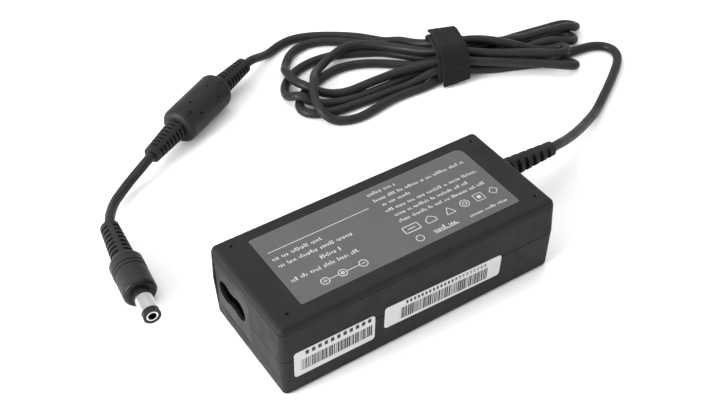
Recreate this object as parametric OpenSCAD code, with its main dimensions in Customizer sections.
// Laptop power adapter: a welded two-shell housing with its circuit inside, a figure-8 mains inlet,
// a hanked low-voltage cord with a ferrite choke, and a barrel plug.
// The housing stands on z = 0 with the middle of its base at the origin, its length along X,
// the inlet at -X and the cord at +X.

/* [Housing] */
// Length of the housing at the seam
body_l = 108; // [100:1:120]
// Width of the housing at the seam
body_w = 46.6; // [44:0.2:52]
// Height of the housing
body_h = 30.5; // [29:0.5:34]
// Height of the seam between the two shells
seam_z = 16.7; // [15.5:0.1:17.5]
// Thickness of the shell walls
wall = 2.2; // [1.8:0.1:2.6]
// Radius of the edges round the top and the base
edge_r = 2; // [1:0.1:2.2]
// How far the top shell's sides lean in
draft_top = 0.55; // [0.2:0.05:0.6]
// How far the bottom shell's sides lean in
draft_bottom = 0.7; // [0.2:0.05:0.7]
// Depth of the shallow step round the upper part of the top shell
step_in = 0.1; // [0.1:0.05:0.3]

/* [Label and stickers] */
// Length of the rating label
label_l = 85.2; // [80:0.2:88]
// Width of the rating label
label_w = 33.7; // [30:0.1:35]
// Thickness of the rating label and the stickers
film_t = 0.15; // [0.1:0.05:0.2]
// Length of the long sticker
long_sticker_l = 46.9; // [40:0.1:48]
// Height of the long sticker
long_sticker_h = 9.3; // [8:0.1:10]
// Length of the small sticker
small_sticker_l = 29.8; // [26:0.1:31]
// Height of the small sticker
small_sticker_h = 11.1; // [10:0.1:12]

/* [Mains inlet] */
// Distance from the housing's middle to the inlet's middle
inlet_y = 9.2; // [8.8:0.1:9.4]
// Height of the inlet's middle
inlet_z = 16.4; // [16:0.1:16.8]
// Diameter of a contact pin
pin_d = 2.36; // [2.3:0.01:2.4]
// Distance between the two contact pins
pin_pitch = 8.6; // [8.5:0.1:8.7]
// Length of the figure-8 opening
socket_l = 17.4; // [17:0.1:17.6]
// Height of the figure-8 opening
socket_h = 8.2; // [7.8:0.1:8.4]
// Depth of the figure-8 opening
socket_depth = 12; // [11:0.5:13]

/* [Circuit] */
// Length of the circuit board
board_l = 92; // [90:1:94]
// Width of the circuit board
board_w = 39; // [38.5:0.5:39.5]
// Thickness of the circuit board
board_t = 1.6; // [1:0.2:1.6]
// Height of the board's underside
board_z = 6; // [5:0.5:6.5]

/* [Cord] */
// Diameter of the cord
cord_d = 3.8; // [3.2:0.1:3.9]
// Diameter of the strain relief where it leaves the housing
relief_base_d = 8.6; // [8:0.1:9.4]
// Diameter of the strain relief at its tip
relief_tip_d = 5.6; // [5:0.1:6]
// Length of the strain relief outside the housing
relief_l = 28; // [24:1:30]
// Height of the hank of cord
hank_h = 13; // [12:0.5:13]

/* [Ferrite choke] */
// Diameter of the moulded ferrite housing
ferrite_d = 15; // [14.6:0.1:15.6]
// Length of the ferrite housing between its strain reliefs
ferrite_l = 30.2; // [29.4:0.2:32]

/* [Plug] */
// Diameter of the plug's moulded grip
grip_d = 12.2; // [12:0.1:12.4]
// Length of the plug's body from its strain relief to its front face
grip_l = 17.9; // [17.5:0.1:19]
// Outer diameter of the plug's barrel
barrel_d = 6.3; // [6.2:0.1:6.5]
// Diameter of the bore in the plug's tip
bore_d = 3; // [2.9:0.1:3.1]
// Length of the barrel beyond the plug's front face, with its insulating tip
barrel_l = 11.4; // [11:0.1:12]

/* [Cord tie] */
// Width of the hook-and-loop strap
strap_w = 12.5; // [10:0.5:14]
// Thickness of the hook-and-loop strap
strap_t = 1.2; // [1:0.1:1.4]

/* [Hidden] */
$fn = 48;

// Housing
half_l = body_l / 2;
half_w = body_w / 2;
top_h = body_h - seam_z;
step_z = body_h - 2.3;       // where the shallow step round the top shell begins
corner_r = ball_reach(seam_z, draft_bottom, edge_r);     // of the vertical corners at the seam
seam_groove = 0.3;           // height and depth of the dark line at the seam
tongue_t = 0.8;              // the bottom shell's tongue, which the top shell's wall closes over
tongue_h = 1.2;
tongue_gap = 0.15;
wall_inset = 0.9;            // from the outer face to the tongue
dimple_d = 1.2;
dimple_x = 48.2;
dimple_y = 17.7;

// The label's and dimples' common middle on the top face
label_at = [0.6, 0.5];
label_recess = 0.2;
label_r = 0.7;
label_big_r = 3;             // the one large corner, at +X +Y

// Stickers on the -Y side, [x, z] of each middle
small_at = [-34.7, 13.2];
long_at = [7.4, 13.8];
long_tilt = -1.7;
film_gap = 0.003;            // between a sticker and the leaning side behind it

// Inlet moulding
panel_y = [-2.8, 20.2];      // its two sides
panel_z = [6.5, 25.1];       // its bottom and top
panel_chamfer = 1.4;
panel_gap = 0.15;
flange_y = [-4, 20.3];       // of the rim that holds the panel from inside
flange_t = 1.6;
socket_body = [20, 12];      // width and height of the block round the opening
panel_face_x = -half_l + 0.5;
socket_floor_x = panel_face_x + socket_depth;
inlet_back_x = socket_floor_x + 3.5;
pin_shank_d = pin_d + 0.6;   // where a pin sits in the moulding
lobe_r = socket_h / 2;
lobe_y = socket_l / 2 - lobe_r;
waist_h = 6.4;

// Circuit: places on the board as [x, y], of a box's low corner or a round part's middle
board_top = board_z + board_t;
post_at = [40, 15];
post_d = 5;
sheet_size = [88, 35, 0.3];
fuse_at = [-45, -12];
fuse_d = 4.6;
fuse_cap_d = 5.2;
fuse_cap_l = 4;
fuse_l = 16;
disc_d = 8;                  // of the thermistor and the Y capacitor
disc_t = 3.6;
thermistor_at = [-34, -4.5];
x_capacitor_at = [-27, -19];
choke_at = [-26.5, 8];
choke_r = [4, 8];            // the core's inner and outer radius
choke_h = 8;
winding_t = 1;
bridge_at = [-27, -7];
bulk_at = [-6, -10];
bulk_d = 18;
bulk_l = 25.5;
primary_sink_x = -16;
secondary_sink_x = 26.4;
sink_y = 17.4;
sink_h = 19.4;
sink_t = 1.6;
package_y = 13.2;
mosfet_x = -14;
rectifier_x = 29;
controller_at = [-12.5, 3];
transformer_at = [12, 8];
core_size = [24, 8, 19];
leg_x = 7;                   // the transformer core's middle leg along X
window_x = 5.5;              // and the windows on either side of it
window_z = 13;
y_capacitor_at = [21, -14.5];
optocoupler_at = [22, -5];
output_can_y = -13.5;
output_can_x = [31, 40.5];
output_can_d = 8;
output_can_h = 15;
ring_at = [37, -1.5];        // the output choke
ring_r = [2.8, 5.4];
ring_h = 5;
ring_winding_t = 0.9;
lead_d = 1.8;
lead_x = 43;
cable_y = 11.5;              // axis of the cord where it leaves the housing
cable_z = seam_z;
relief_inner_x = half_l - wall - 3.2;
relief_rim = [12, 2.6];      // diameter and thickness of the rim that holds the relief inside

// Hank, in a frame of its own that lies along its runs with the tie at its middle
hank_at = [94.5, 92];
hank_turn = -18;
hank_loop_x = -46.5;
hank_loop_r = 26;
waist_w = 16.6;

// Ferrite choke: its middle and direction, and how far its two strain reliefs turn from it
ferrite_at = [-10.6, 119];
ferrite_turn = 29.4;
ferrite_roll = 35;
ferrite_z = ferrite_d / 2;
ferrite_edge_r = 2.8;
right_relief = [-2.5, 20];       // [turn, length]
left_relief = [182.4, 19.6];
choke_relief_d = [9.2, 6.8];     // at the root and at the tip
relief_root = ferrite_l / 2 - 1.6;
pin_mark = [6.2, 3.05];          // where moulding pins held the core, along and across
keyhole_l = 5;                   // of the slot from either end along the top
core_d = 12.6;
core_bore = 6.4;
core_l = 26;

// Plug: where its grip begins, and the grip's direction
plug_at = [-71.65, 55.9];
plug_turn = -96.3;
plug_z = grip_d / 2;
plug_relief = [178.2, 19.6];     // [turn, length]
plug_relief_d = [8.8, 7];        // at the root and at the tip
plug_relief_root = 0.6;
collar_l = 1.05;             // how much of the plug's front the collar forms
neck_d = barrel_d + 0.6;     // of the collar's sleeve round the barrel
neck_l = 2.4;
insulator_l = 2;
barrel_wall = 0.5;
barrel_root_d = barrel_d - 0.4;      // where the barrel is held inside the grip
barrel_root_l = 11;
collar_seat_d = grip_d - 2.4;
collar_depth = 4;            // of the collar's seat behind the plug's front face
contact_d = bore_d + 1.2;
bore_depth = 3;              // of the bore behind the plug's front face

// Tie: the loop's outside size, and the outer layer that closes over its top and front
loop_w = 20;
loop_h = 14.9;
loop_low_r = 3;
loop_high_r = 7;
loop_shift = -1.2;           // of the loop along the hank, from under the flap
flap_t = 1.1;
flap_fold = 6;               // how far behind the middle the flap folds up
flap_foot = 0.6;             // height of the flap's free end
flap_flare = 1.6;            // how far the free end stands out from the loop

function unit(v) = v / norm(v);

function compass(a) = [cos(a), sin(a), 0];

// Tip of a strain relief that starts on a piece's axis, a distance from the piece's middle
function relief_tip(at, turn, root, relief, z) =
    [at[0], at[1], z] + root * compass(turn) + relief[1] * compass(turn + relief[0]);

right_tip = relief_tip(ferrite_at, ferrite_turn, relief_root, right_relief, ferrite_z);
left_tip = relief_tip(ferrite_at, ferrite_turn, -relief_root, left_relief, ferrite_z);
plug_tip = relief_tip(plug_at, plug_turn, plug_relief_root, plug_relief, plug_z);
housing_tip = [half_l + relief_l, cable_y, cable_z];

// Cord routes, from one strain relief's tip to the hank or the next tip
feed_route = [housing_tip, [87.9, 13.5, 15], [95, 16.5, 13.2], [103, 20.3, 11.1], [111, 24.6, 8.8],
    [118.8, 28.9, 6.7], [126.2, 33.2, 4.9], [133, 37.6, 3.4], [139.3, 41.5, 2.5], [144.8, 45.3, 2.1],
    [150.1, 48.9, 2], [154.8, 52.8, 2], [159, 57.1, 2], [161, 61.5, 2], [161, 66.5, 2.2],
    [157.5, 71.3, 3], [150.5, 74, 4.4]];
tail_route = [[75, 117, 8], [70, 125, 7.2], [64.5, 133.2, 5.2], [57.2, 141.4, 3.2], [49, 146, 2.4],
    [40.8, 145.2, 2.6], [36.2, 143.8, 3.4], [30.7, 141.1, 4.8], [24.9, 137.6, 6.6], right_tip];
end_route = [left_tip, [-42.4, 99.9, 7.2], [-45.7, 98, 6.7], [-49.4, 96.6, 5.4], [-53, 94.9, 4.4],
    [-56.6, 92.5, 3.9], [-60.3, 89.4, 4], [-63.5, 85.4, 4.6], [-66.2, 80.8, 5.5], plug_tip];

// Direction of a route at one of its points
function heading(path, i) =
    unit(path[min(i + 1, len(path) - 1)] - path[max(i - 1, 0)]);

// One ring of a tube's surface, square to the route
function ring(centre, along, radius, sides) =
    let (side = unit(cross(along, [0, 0, 1])), up = cross(side, along))
    [for (k = [0:sides - 1]) let (a = 360 * (k + 0.5) / sides)
        centre + radius * (cos(a) * side + sin(a) * up)];

// A tube with flat ends that follows a route; the first and last rings may be squared to a given face
module swept_tube(path, diameter, sides, first = undef, last = undef) {
    n = len(path);
    ends = [is_undef(first) ? heading(path, 0) : first,
        is_undef(last) ? heading(path, n - 1) : last];
    rings = [for (i = [0:n - 1])
        ring(path[i], i == 0 ? ends[0] : i == n - 1 ? ends[1] : heading(path, i),
            diameter / 2, sides)];
    points = [for (r = rings) for (p = r) p];
    walls = [for (i = [0:n - 2]) for (k = [0:sides - 1])
        let (a = i * sides + k, b = i * sides + (k + 1) % sides)
        [a, a + sides, b + sides, b]];
    near_cap = [[for (k = [0:sides - 1]) k]];
    far_cap = [[for (k = [sides - 1:-1:0]) (n - 1) * sides + k]];
    polyhedron(points, concat(walls, near_cap, far_cap), convexity = 6);
}

// How far a leaning side stands out, at its foot, from the middle of the ball that rounds its top
function ball_reach(height, draft, edge) =
    let (lean = atan(draft / height))
    edge / cos(lean) + draft * (height - edge) / height;

// A box with leaning sides and rounded corners, standing on z = 0
module leaning_box(half_x, half_y, height, draft, corner) {
    for (side = [[half_x, half_y, 0], [half_y, half_x, 90]])
        rotate([90, 0, side[2]])
            linear_extrude(2 * (side[1] - corner), center = true)
                polygon([[-side[0], 0], [side[0], 0],
                    [side[0] - draft, height], [draft - side[0], height]]);
    for (sx = [-1, 1], sy = [-1, 1])
        translate([sx * (half_x - corner), sy * (half_y - corner), 0])
            cylinder(r1 = corner, r2 = corner - draft, h = height);
}

// The same box with a rounded top edge that ends in a ball at each corner
module round_edged_box(half_x, half_y, height, draft, edge) {
    corner = ball_reach(height, draft, edge);
    hull() {
        linear_extrude(0.01) rounded_rectangle(2 * half_x, 2 * half_y, corner);
        for (sx = [-1, 1], sy = [-1, 1])
            translate([sx * (half_x - corner), sy * (half_y - corner), height - edge])
                sphere(r = edge);
        translate([0, 0, height - 0.01])
            linear_extrude(0.01)
                square(2 * [half_x - corner, half_y - corner], center = true);
    }
}

// The hollow inside either shell
module shell_hollow(height, draft) {
    translate([0, 0, -1])
        linear_extrude(1.01)
            square([body_l - 2 * wall, body_w - 2 * wall], center = true);
    leaning_box(half_l - wall, half_w - wall, height - wall, draft, 1.2);
}

// A rounded frame in plan: what lies between two insets from the housing's outline
module seam_frame(outer_inset, inner_inset, height) {
    linear_extrude(height)
        difference() {
            rounded_rectangle(body_l - 2 * outer_inset, body_w - 2 * outer_inset,
                corner_r - min(outer_inset, 1.6));
            rounded_rectangle(body_l - 2 * inner_inset, body_w - 2 * inner_inset,
                corner_r - min(inner_inset, 1.6));
        }
}

module rounded_rectangle(length, width, r) {
    square([length - 2 * r, width], center = true);
    square([length, width - 2 * r], center = true);
    for (sx = [-1, 1], sy = [-1, 1])
        translate([sx * (length / 2 - r), sy * (width / 2 - r)]) circle(r = r);
}

// The inlet panel's outline, seen from inside the housing, grown by a margin; y runs up
module panel_outline(margin) {
    low = panel_z[0] - margin;
    high = panel_z[1] + margin;
    left = panel_y[0] - margin;
    right = panel_y[1] + margin;
    polygon([[left, low], [right, low], [right, high - panel_chamfer / 2],
        [right - panel_chamfer / 2, high], [left + panel_chamfer, high],
        [left, high - panel_chamfer]]);
}

// Anything drawn with x as Y and y as Z, extruded towards +X from x
module along_x(x, length) {
    translate([x, 0, 0])
        rotate([90, 0, 90])
            linear_extrude(length)
                children();
}

// Round bar along X
module bar_x(x, y, z, diameter, length) {
    translate([x, y, z])
        rotate([0, 90, 0])
            cylinder(d = diameter, h = length);
}

// The gaps in both shells' end walls: the inlet's at -X and the cord's at +X
module end_openings() {
    along_x(-half_l - 1, wall + 2) panel_outline(panel_gap);
    bar_x(half_l - wall - 1, cable_y, cable_z, relief_base_d + 0.4, wall + 2);
}

module top_cover() {
    color([0.2, 0.2, 0.21])
    difference() {
        translate([0, 0, seam_z]) {
            leaning_box(half_l, half_w, step_z - seam_z, draft_top * (step_z - seam_z) / top_h,
                ball_reach(top_h, draft_top, edge_r));
            round_edged_box(half_l - step_in, half_w - step_in, top_h, draft_top, edge_r);
        }
        translate([0, 0, seam_z]) shell_hollow(top_h, draft_top);
        translate([0, 0, seam_z - 0.01])
            seam_frame(wall_inset - tongue_gap, wall + 0.5, tongue_h + tongue_gap);
        end_openings();
        translate([label_at[0], label_at[1], body_h - label_recess])
            linear_extrude(1) label_outline(0.15);
        for (sx = [-1, 1], sy = [-1, 1])
            translate([label_at[0] + sx * dimple_x, label_at[1] + sy * dimple_y, body_h - 0.6])
                cylinder(d = dimple_d, h = 1);
    }
}

module bottom_cover() {
    color([0.2, 0.2, 0.21])
    difference() {
        union() {
            translate([0, 0, seam_z])
                mirror([0, 0, 1])
                    round_edged_box(half_l, half_w, seam_z, draft_bottom, edge_r);
            translate([0, 0, seam_z]) seam_frame(wall_inset, wall_inset + tongue_t, tongue_h);
        }
        translate([0, 0, seam_z])
            mirror([0, 0, 1])
                difference() {
                    shell_hollow(seam_z, draft_bottom);
                    board_posts();
                }
        translate([0, 0, seam_z - seam_groove])
            seam_frame(-1, seam_groove, seam_groove + 0.01);
        end_openings();
    }
}

// Posts that carry the circuit board, drawn hanging down from the seam
module board_posts() {
    for (sx = [-1, 1], sy = [-1, 1])
        translate([sx * post_at[0], sy * post_at[1], seam_z - board_z])
            cylinder(d = post_d, h = board_z);
}

// Label outline with one large corner, grown by a margin
module label_outline(margin) {
    l = label_l + 2 * margin;
    w = label_w + 2 * margin;
    difference() {
        rounded_rectangle(l, w, label_r);
        translate([l / 2 - label_big_r, w / 2 - label_big_r]) square(label_big_r + 1);
    }
    translate([l / 2 - label_big_r, w / 2 - label_big_r]) circle(r = label_big_r);
}

module rating_label() {
    color([0.42, 0.42, 0.42])
    translate([label_at[0], label_at[1], body_h - label_recess])
        linear_extrude(film_t) label_outline(0);
}

// Strip that lies on the -Y side and bends at the seam, between two heights
module side_strip(low, high, x0, x1) {
    lean_low = draft_bottom / seam_z;
    lean_high = draft_top / top_h;
    face = -half_w - film_gap;
    inside = [[face + lean_low * (seam_z - low), low], [face, seam_z],
        [face + lean_high * (high - seam_z), high]];
    outside = [for (i = [2:-1:0]) inside[i] - [film_t, 0]];
    along_x(x0, x1 - x0) polygon(concat(inside, outside));
}

// A sticker: the part of the strip behind a rounded outline turned a little
module side_sticker(at, length, height, tilt, radius) {
    intersection() {
        side_strip(at[1] - height / 2 - 2, at[1] + height / 2 + 2,
            at[0] - length / 2 - 2, at[0] + length / 2 + 2);
        translate([at[0], -half_w + 2, at[1]])
            rotate([90, 0, 0])
                rotate(tilt)
                    linear_extrude(4)
                        rounded_rectangle(length, height, radius);
    }
}

module sticker_small() {
    color("white") side_sticker(small_at, small_sticker_l, small_sticker_h, -0.5, 1.2);
}

module sticker_long() {
    color("white") side_sticker(long_at, long_sticker_l, long_sticker_h, long_tilt, 1.2);
}

// Outline of the figure-8 opening, with x as Y and y as Z
module figure_eight() {
    translate([inlet_y, inlet_z]) {
        for (s = [-1, 1]) translate([s * lobe_y, 0]) circle(r = lobe_r);
        square([2 * lobe_y, waist_h], center = true);
    }
}

module inlet_housing() {
    flange_x = -half_l + wall + 0.8;
    color([0.24, 0.24, 0.25])
    difference() {
        union() {
            along_x(panel_face_x, flange_x - panel_face_x) panel_outline(0);
            translate([flange_x, flange_y[0], panel_z[0] - 1])
                cube([flange_t, flange_y[1] - flange_y[0], panel_z[1] - panel_z[0] + 2]);
            along_x(flange_x, inlet_back_x - flange_x)
                translate([inlet_y, inlet_z]) square(socket_body, center = true);
        }
        along_x(panel_face_x - 1, socket_depth + 1) figure_eight();
        for (s = [-1, 1])
            bar_x(panel_face_x, inlet_y + s * pin_pitch / 2, inlet_z, pin_shank_d, 20);
    }
}

// A contact pin with the blade that takes it down to the board
module inlet_pin(side) {
    y = inlet_y + side * pin_pitch / 2;
    tip_x = panel_face_x + 1.6;
    end_x = inlet_back_x + 1.6;
    color([0.8, 0.78, 0.72]) {
        bar_x(tip_x, y, inlet_z, pin_d, socket_floor_x - tip_x);
        bar_x(socket_floor_x, y, inlet_z, pin_shank_d, end_x - socket_floor_x);
        translate([end_x - 1, y - 1.1, board_top]) cube([1, 2.2, inlet_z - board_top]);
    }
}

module inlet_pin_a() {
    inlet_pin(-1);
}

module inlet_pin_b() {
    inlet_pin(1);
}

module circuit_board() {
    color([0.1, 0.35, 0.2])
    translate([-board_l / 2, -board_w / 2, board_z]) cube([board_l, board_w, board_t]);
}

module insulation_sheet() {
    color([0.9, 0.9, 0.8])
    translate([0, 0, wall])
        linear_extrude(sheet_size[2])
            difference() {
                square([sheet_size[0], sheet_size[1]], center = true);
                for (sx = [-1, 1], sy = [-1, 1])
                    translate([sx * post_at[0], sy * post_at[1]]) circle(d = post_d + 0.6);
            }
}

// A box that stands on the board, from its low corner
module board_box(at, size, lift = 0) {
    translate([at[0], at[1], board_top + lift]) cube(size);
}

// A round part that stands on the board
module board_can(at, diameter, height) {
    translate([at[0], at[1], board_top]) cylinder(d = diameter, h = height);
}

// A leaded disc that stands on its edge
module board_disc(at) {
    bar_x(at[0], at[1], board_top + disc_d / 2, disc_d, disc_t);
}

module fuse() {
    z = board_top + fuse_cap_d / 2;
    color([0.75, 0.72, 0.65]) {
        bar_x(fuse_at[0], fuse_at[1], z, fuse_d, fuse_l);
        for (x = [0, fuse_l - fuse_cap_l])
            bar_x(fuse_at[0] + x, fuse_at[1], z, fuse_cap_d, fuse_cap_l);
    }
}

module thermistor() {
    color([0.15, 0.3, 0.2]) board_disc(thermistor_at);
}

module x_capacitor() {
    color([0.85, 0.75, 0.2]) board_box(x_capacitor_at, [18, 8, 15]);
}

module choke_core() {
    color([0.3, 0.32, 0.3])
    translate([choke_at[0], choke_at[1], board_top + winding_t])
        rotate_extrude() ring_section(choke_r, choke_h);
}

// Half section of a ring, from its inner and outer radius and its height, grown by a margin
module ring_section(radii, height, margin = 0) {
    translate([radii[0] - margin, -margin])
        square([radii[1] - radii[0] + 2 * margin, height + 2 * margin]);
}

// A winding closed round part of a ring
module ring_winding(radii, height, thickness, angle) {
    rotate_extrude(angle = angle)
        difference() {
            ring_section(radii, height, thickness);
            ring_section(radii, height);
        }
}

module choke_winding(start) {
    color([0.72, 0.4, 0.15])
    translate([choke_at[0], choke_at[1], board_top + winding_t])
        rotate([0, 0, start]) ring_winding(choke_r, choke_h, winding_t, 130);
}

module choke_winding_a() {
    choke_winding(25);
}

module choke_winding_b() {
    choke_winding(205);
}

module bridge_rectifier() {
    color([0.12, 0.12, 0.12]) board_box(bridge_at, [14, 3.6, 11]);
}

module bulk_capacitor() {
    neck = [bulk_l - 2.5, 0.8];      // the rolled groove near its foot: [from, width]
    color([0.15, 0.2, 0.4])
    translate([bulk_at[0], bulk_at[1], board_top + bulk_d / 2])
        difference() {
            bar_x(0, 0, 0, bulk_d, bulk_l);
            difference() {
                bar_x(neck[0], 0, 0, bulk_d + 1, neck[1]);
                bar_x(neck[0] - 1, 0, 0, bulk_d - 1, neck[1] + 2);
            }
        }
}

// A plate that stands along the board's edge, with its top folded in
module heatsink(x, length) {
    fold_t = 1.4;
    board_box([x, sink_y], [length, sink_t, sink_h]);
    board_box([x, sink_y - sink_t], [length, sink_t, fold_t], sink_h - fold_t);
}

module primary_heatsink() {
    color([0.75, 0.76, 0.78]) heatsink(primary_sink_x, 14);
}

// A power package standing against a heatsink: moulded body and metal tab
module power_package(x) {
    leg = [0.8, 0.6, 3];
    body = [10, sink_y - package_y, 9];
    tab = [body[0], 1.4, 5.6];
    board_box([x, package_y], body, leg[2]);
    board_box([x, sink_y - tab[1]], tab, leg[2] + body[2]);
    for (i = [-1:1])
        board_box([x + (body[0] - leg[0]) / 2 + 2.5 * i, package_y + 1.8], leg);
}

module mosfet() {
    color([0.1, 0.1, 0.1]) power_package(mosfet_x);
}

module controller_ic() {
    color([0.1, 0.1, 0.1]) board_box(controller_at, [5, 4, 1.6]);
}

module transformer_core() {
    color([0.25, 0.25, 0.26])
    translate([transformer_at[0], transformer_at[1], board_top + core_size[2] / 2])
        difference() {
            cube(core_size, center = true);
            for (s = [-1, 1])
                translate([s * (leg_x + window_x) / 2, 0, 0])
                    cube([window_x, core_size[1] + 1, window_z], center = true);
        }
}

module transformer_bobbin() {
    tube = [leg_x + 1.4, core_size[1] + 1.4];
    color([0.85, 0.82, 0.7])
    translate([transformer_at[0], transformer_at[1], board_top + core_size[2] / 2])
        difference() {
            union() {
                cube([tube[0], tube[1], window_z - 0.2], center = true);
                for (s = [-1, 1])
                    translate([0, 0, s * (window_z / 2 - 0.6)])
                        cube([leg_x + 2 * window_x - 0.4, 16, 1], center = true);
            }
            cube([leg_x + 0.2, core_size[1] + 0.2, window_z + 1], center = true);
        }
}

module transformer_winding() {
    color([0.95, 0.85, 0.3])
    translate([transformer_at[0], transformer_at[1],
            board_top + (core_size[2] - window_z) / 2 + 1.1])
        linear_extrude(window_z - 2.2)
            difference() {
                rounded_rectangle(leg_x + 2 * window_x - 0.8, 15.4, 2);
                square([leg_x + 1.4, core_size[1] + 1.4], center = true);
            }
}

module y_capacitor() {
    color([0.1, 0.3, 0.7]) board_disc(y_capacitor_at);
}

module optocoupler() {
    color([0.9, 0.9, 0.88]) board_box(optocoupler_at, [6.5, 4.6, 3.6]);
}

module secondary_heatsink() {
    color([0.75, 0.76, 0.78]) heatsink(secondary_sink_x, 15);
}

module output_rectifier() {
    color([0.1, 0.1, 0.1]) power_package(rectifier_x);
}

module output_capacitor(i) {
    at = [output_can_x[i], output_can_y];
    board_can(at, output_can_d, output_can_h);
    board_can(at, output_can_d - 1, output_can_h + 0.6);
}

module output_capacitor_a() {
    color([0.1, 0.3, 0.2]) output_capacitor(0);
}

module output_capacitor_b() {
    color([0.1, 0.3, 0.2]) output_capacitor(1);
}

module output_choke_core() {
    color([0.75, 0.75, 0.2])
    translate([ring_at[0], ring_at[1], board_top + ring_winding_t])
        rotate_extrude() ring_section(ring_r, ring_h);
}

module output_choke_winding() {
    color([0.72, 0.4, 0.15])
    translate([ring_at[0], ring_at[1], board_top + ring_winding_t])
        ring_winding(ring_r, ring_h, ring_winding_t, 300);
}

// A lead from the board up to the cord's inner end
module dc_lead(side) {
    y = cable_y + side * 2;
    translate([lead_x, y, board_top]) cylinder(d = lead_d, h = cable_z - board_top);
    translate([lead_x, y, cable_z]) sphere(d = lead_d);
    bar_x(lead_x, y, cable_z, lead_d, relief_inner_x - lead_x);
}

module dc_lead_positive() {
    color([0.9, 0.9, 0.9]) dc_lead(1);
}

module dc_lead_negative() {
    color([0.1, 0.1, 0.1]) dc_lead(-1);
}

// Tapered strain relief along +X from the origin, slotted from both sides of a spine so that it bends
module slotted_relief(base_d, tip_d, length, slots, spine) {
    solid_end = 1.5;
    pitch = (length - 2 * solid_end) / slots;
    difference() {
        rotate([0, 90, 0]) cylinder(d1 = base_d, d2 = tip_d, h = length);
        for (i = [0:slots - 1], s = [-1, 1])
            translate([solid_end + pitch * (i + 0.5), s * (spine + base_d) / 2, 0])
                cube([pitch / 2, base_d, base_d + 1], center = true);
    }
}

module cord_strain_relief() {
    color([0.13, 0.13, 0.13])
    translate([0, cable_y, cable_z]) {
        bar_x(relief_inner_x, 0, 0, relief_rim[0], relief_rim[1]);
        bar_x(relief_inner_x + relief_rim[1], 0, 0, relief_base_d,
            half_l - relief_inner_x - relief_rim[1]);
        translate([half_l, 0, 0])
            slotted_relief(relief_base_d, relief_tip_d, relief_l, 7, 3);
    }
}

module cord_feed() {
    color([0.15, 0.15, 0.15])
    swept_tube(feed_route, cord_d, 8, first = compass(0), last = compass(180 + hank_turn));
}

// Outline of the hank: round loops at one end, a waist at the tie, folded ends at the other
module hank_outline() {
    difference() {
        union() {
            translate([hank_loop_x, 0]) circle(r = hank_loop_r);
            polygon([[hank_loop_x + 6, -hank_loop_r + 0.8], [-9, -waist_w / 2 - 2.4],
                [-9, waist_w / 2 + 3], [hank_loop_x + 6, hank_loop_r - 0.8]]);
        }
        translate([-8, -20]) square(40);
    }
    translate([-9, -waist_w / 2]) square([18, waist_w]);
    polygon([[8, -waist_w / 2 - 1], [52, -17.2], [60.8, 17.6], [8, waist_w / 2 + 1]]);
    translate([51, -13]) circle(r = 4.3);
    translate([60, 13.4]) circle(r = 4.3);
    polygon([[50, -15], [55.3, -13], [64.3, 13.2], [58, 15]]);
}

module cord_hank() {
    color([0.15, 0.15, 0.15])
    at_hank()
        difference() {
            linear_extrude(hank_h) hank_outline();
            along_x(loop_shift - strap_w / 2 - 0.6, strap_w - loop_shift + 1.2)
                difference() {
                    translate([-loop_w, -1]) square([2 * loop_w, 2 * loop_h]);
                    strap_section(strap_t + 0.1);
                }
        }
}

module cord_tail() {
    color([0.15, 0.15, 0.15])
    swept_tube(tail_route, cord_d, 8, last = compass(180 + ferrite_turn + right_relief[0]));
}

module cord_end() {
    color([0.15, 0.15, 0.15])
    swept_tube(end_route, cord_d, 8, first = compass(ferrite_turn + left_relief[0]),
        last = compass(180 + plug_turn + plug_relief[0]));
}

// Places a child in a frame of its own: a point in plan, a turn about Z and a height
module placed(at, turn, z) {
    translate([at[0], at[1], z])
        rotate([0, 0, turn])
            children();
}

module at_ferrite() {
    placed(ferrite_at, ferrite_turn, ferrite_z) children();
}

// One of the choke's strain reliefs: where it starts on the axis, its [turn, length] and its roll
module choke_relief(root, relief, roll) {
    translate([root, 0, 0])
        rotate([0, 0, relief[0]])
            rotate([roll, 0, 0])
                slotted_relief(choke_relief_d[0], choke_relief_d[1], relief[1], 8, 2);
}

// The marks in the top of the choke's overmould, before it is rolled
module choke_marks() {
    for (sx = [-1, 1]) {
        for (sy = [-1, 1])
            translate([sx * pin_mark[0], sy * pin_mark[1], 0]) cylinder(d = 1, h = ferrite_d);
        translate([0, 0, ferrite_d / 2 - 0.4])
            linear_extrude(1)
                hull() {
                    translate([sx * ferrite_l / 2, 0]) circle(d = 0.5);
                    translate([sx * (ferrite_l / 2 - keyhole_l), 0]) circle(d = 0.9);
                }
    }
}

module ferrite_housing() {
    color([0.17, 0.17, 0.18])
    at_ferrite()
        difference() {
            union() {
                rotate([0, 90, 0])
                    rotate_extrude()
                        intersection() {
                            rounded_rectangle(ferrite_d, ferrite_l, ferrite_edge_r);
                            translate([0, -ferrite_l]) square(2 * ferrite_l);
                        }
                choke_relief(relief_root, right_relief, ferrite_roll);
                choke_relief(-relief_root, left_relief, -ferrite_roll);
            }
            rotate([0, 90, 0]) ferrite_ring();
            rotate([ferrite_roll, 0, 0]) choke_marks();
        }
}

module ferrite_ring() {
    rotate_extrude()
        translate([core_bore / 2, -core_l / 2])
            square([(core_d - core_bore) / 2, core_l]);
}

module ferrite_core() {
    color([0.35, 0.35, 0.37]) at_ferrite() rotate([0, 90, 0]) ferrite_ring();
}

// In the plug's frame the grip's rear face is at the origin and the tip lies towards +X
module at_plug() {
    placed(plug_at, plug_turn, plug_z) children();
}

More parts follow.
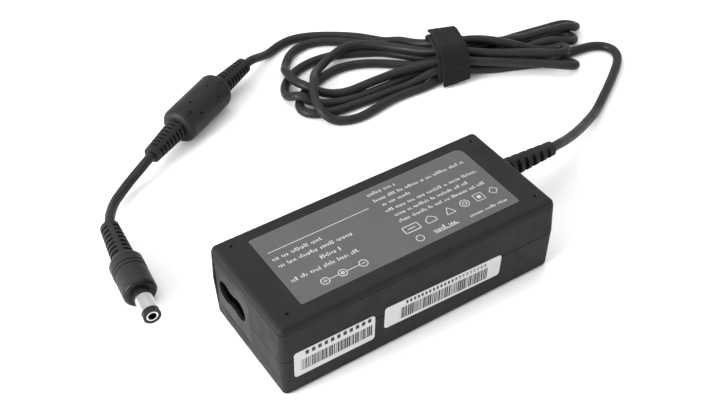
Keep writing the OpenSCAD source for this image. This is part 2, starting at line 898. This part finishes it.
// The grip's profile as [radius, distance from its rear face]: a shoulder and two grooves
module grip_profile() {
    r = grip_d / 2;
    front = grip_l - collar_l;
    polygon([[0, 0], [r - 1.3, 0], [r - 0.5, 0.8], [r, 1.8],
        [r, 5.2], [r - 0.35, 5.4], [r - 0.35, 5.7], [r, 5.9],
        [r, 7], [r - 0.4, 7.2], [r - 0.4, 7.5], [r - 0.12, 7.7],
        [r - 0.12, front], [0, front]]);
}

// Anything drawn as [radius, distance], turned about the X axis
module turned_about_x() {
    rotate([0, 90, 0]) rotate_extrude() children();
}

module plug_grip() {
    color([0.18, 0.18, 0.19])
    at_plug()
        difference() {
            union() {
                turned_about_x() grip_profile();
                translate([plug_relief_root, 0, 0])
                    rotate([0, 0, plug_relief[0]])
                        slotted_relief(plug_relief_d[0], plug_relief_d[1], plug_relief[1], 7, 1.8);
            }
            bar_x(grip_l - collar_depth, 0, 0, collar_seat_d, collar_depth);
            bar_x(grip_l - barrel_root_l, 0, 0, barrel_root_d, barrel_root_l);
        }
}

// Black front of the plug: seated in the grip, with a rounded rim and a sleeve round the barrel
module plug_collar() {
    rim = grip_d / 2 - 0.2;
    color([0.06, 0.06, 0.06])
    at_plug()
        translate([grip_l, 0, 0])
            turned_about_x()
                polygon([[barrel_root_d / 2, -collar_depth], [collar_seat_d / 2, -collar_depth],
                    [collar_seat_d / 2, -collar_l], [rim, -collar_l], [rim - 0.2, -collar_l / 2],
                    [rim - 0.9, 0], [neck_d / 2, 0], [neck_d / 2, neck_l - 0.2],
                    [neck_d / 2 - 0.15, neck_l], [barrel_root_d / 2, neck_l]]);
}

// One of the plug's nested tubes, from and to distances beyond the plug's front face
module plug_tube(outer_d, inner_d, from, to) {
    at_plug()
        translate([grip_l + from, 0, 0])
            turned_about_x()
                translate([inner_d / 2, 0])
                    square([(outer_d - inner_d) / 2, to - from]);
}

module plug_barrel() {
    bore = barrel_d - 2 * barrel_wall;
    color([0.82, 0.82, 0.84]) {
        plug_tube(barrel_root_d, bore, -barrel_root_l, neck_l);
        plug_tube(barrel_d, bore, neck_l, barrel_l - insulator_l);
    }
}

module plug_insulator() {
    color([0.05, 0.05, 0.05]) {
        plug_tube(barrel_d - 0.1, contact_d, barrel_l - insulator_l, barrel_l);
        plug_tube(barrel_d - 2 * barrel_wall, contact_d, -barrel_root_l, barrel_l - insulator_l);
    }
}

module plug_contact() {
    color([0.8, 0.8, 0.82]) {
        plug_tube(contact_d, bore_d, -bore_depth, barrel_l - 0.1);
        plug_tube(contact_d, 0, -barrel_root_l, -bore_depth);
    }
}

module at_hank() {
    placed(hank_at, hank_turn, 0) children();
}

// The strap's section round the bundle, with x across the hank and y up
module strap_section(inset) {
    for (level = [[loop_low_r, loop_low_r], [loop_high_r, loop_h - loop_high_r]])
        for (s = [-1, 1])
            translate([s * (loop_w / 2 - level[0]), level[1]]) circle(r = level[0] - inset);
    translate([inset - loop_w / 2, loop_low_r])
        square([loop_w - 2 * inset, loop_h - loop_low_r - loop_high_r]);
    translate([loop_low_r - loop_w / 2, inset])
        square([loop_w - 2 * loop_low_r, loop_h / 2]);
    translate([loop_high_r - loop_w / 2, loop_low_r])
        square([loop_w - 2 * loop_high_r, loop_h - loop_low_r - inset]);
}

module tie_loop() {
    color([0.1, 0.1, 0.1])
    at_hank()
        along_x(loop_shift - strap_w / 2, strap_w)
            difference() {
                strap_section(0);
                strap_section(strap_t);
            }
}

// The outer layer: over the top, round the front corner and down to its free end
module flap_section() {
    corner = [loop_high_r - loop_w / 2, loop_h - loop_high_r];
    translate([corner[0], loop_h]) square([flap_fold - corner[0], flap_t]);
    translate([flap_fold, loop_h + flap_t / 2]) circle(d = flap_t);
    difference() {
        translate(corner) circle(r = loop_high_r + flap_t);
        translate(corner) circle(r = loop_high_r);
        translate([corner[0], 0]) square(2 * loop_h);
        translate([-loop_w, corner[1] - 2 * loop_h]) square(2 * loop_h);
    }
    polygon([[-loop_w / 2, corner[1]], [-loop_w / 2 - flap_t, corner[1]],
        [-loop_w / 2 - flap_t - flap_flare, flap_foot], [-loop_w / 2 - flap_flare, flap_foot]]);
}

module tie_flap() {
    color([0.1, 0.1, 0.1])
    at_hank()
        along_x(-strap_w / 2, strap_w) flap_section();
}

top_cover();
bottom_cover();
rating_label();
sticker_small();
sticker_long();
inlet_housing();
inlet_pin_a();
inlet_pin_b();
circuit_board();
insulation_sheet();
fuse();
thermistor();
x_capacitor();
choke_core();
choke_winding_a();
choke_winding_b();
bridge_rectifier();
bulk_capacitor();
primary_heatsink();
mosfet();
controller_ic();
transformer_core();
transformer_bobbin();
transformer_winding();
y_capacitor();
optocoupler();
secondary_heatsink();
output_rectifier();
output_capacitor_a();
output_capacitor_b();
output_choke_core();
output_choke_winding();
dc_lead_positive();
dc_lead_negative();
cord_strain_relief();
cord_feed();
cord_hank();
cord_tail();
cord_end();
ferrite_housing();
ferrite_core();
plug_grip();
plug_collar();
plug_barrel();
plug_insulator();
plug_contact();
tie_loop();
tie_flap();
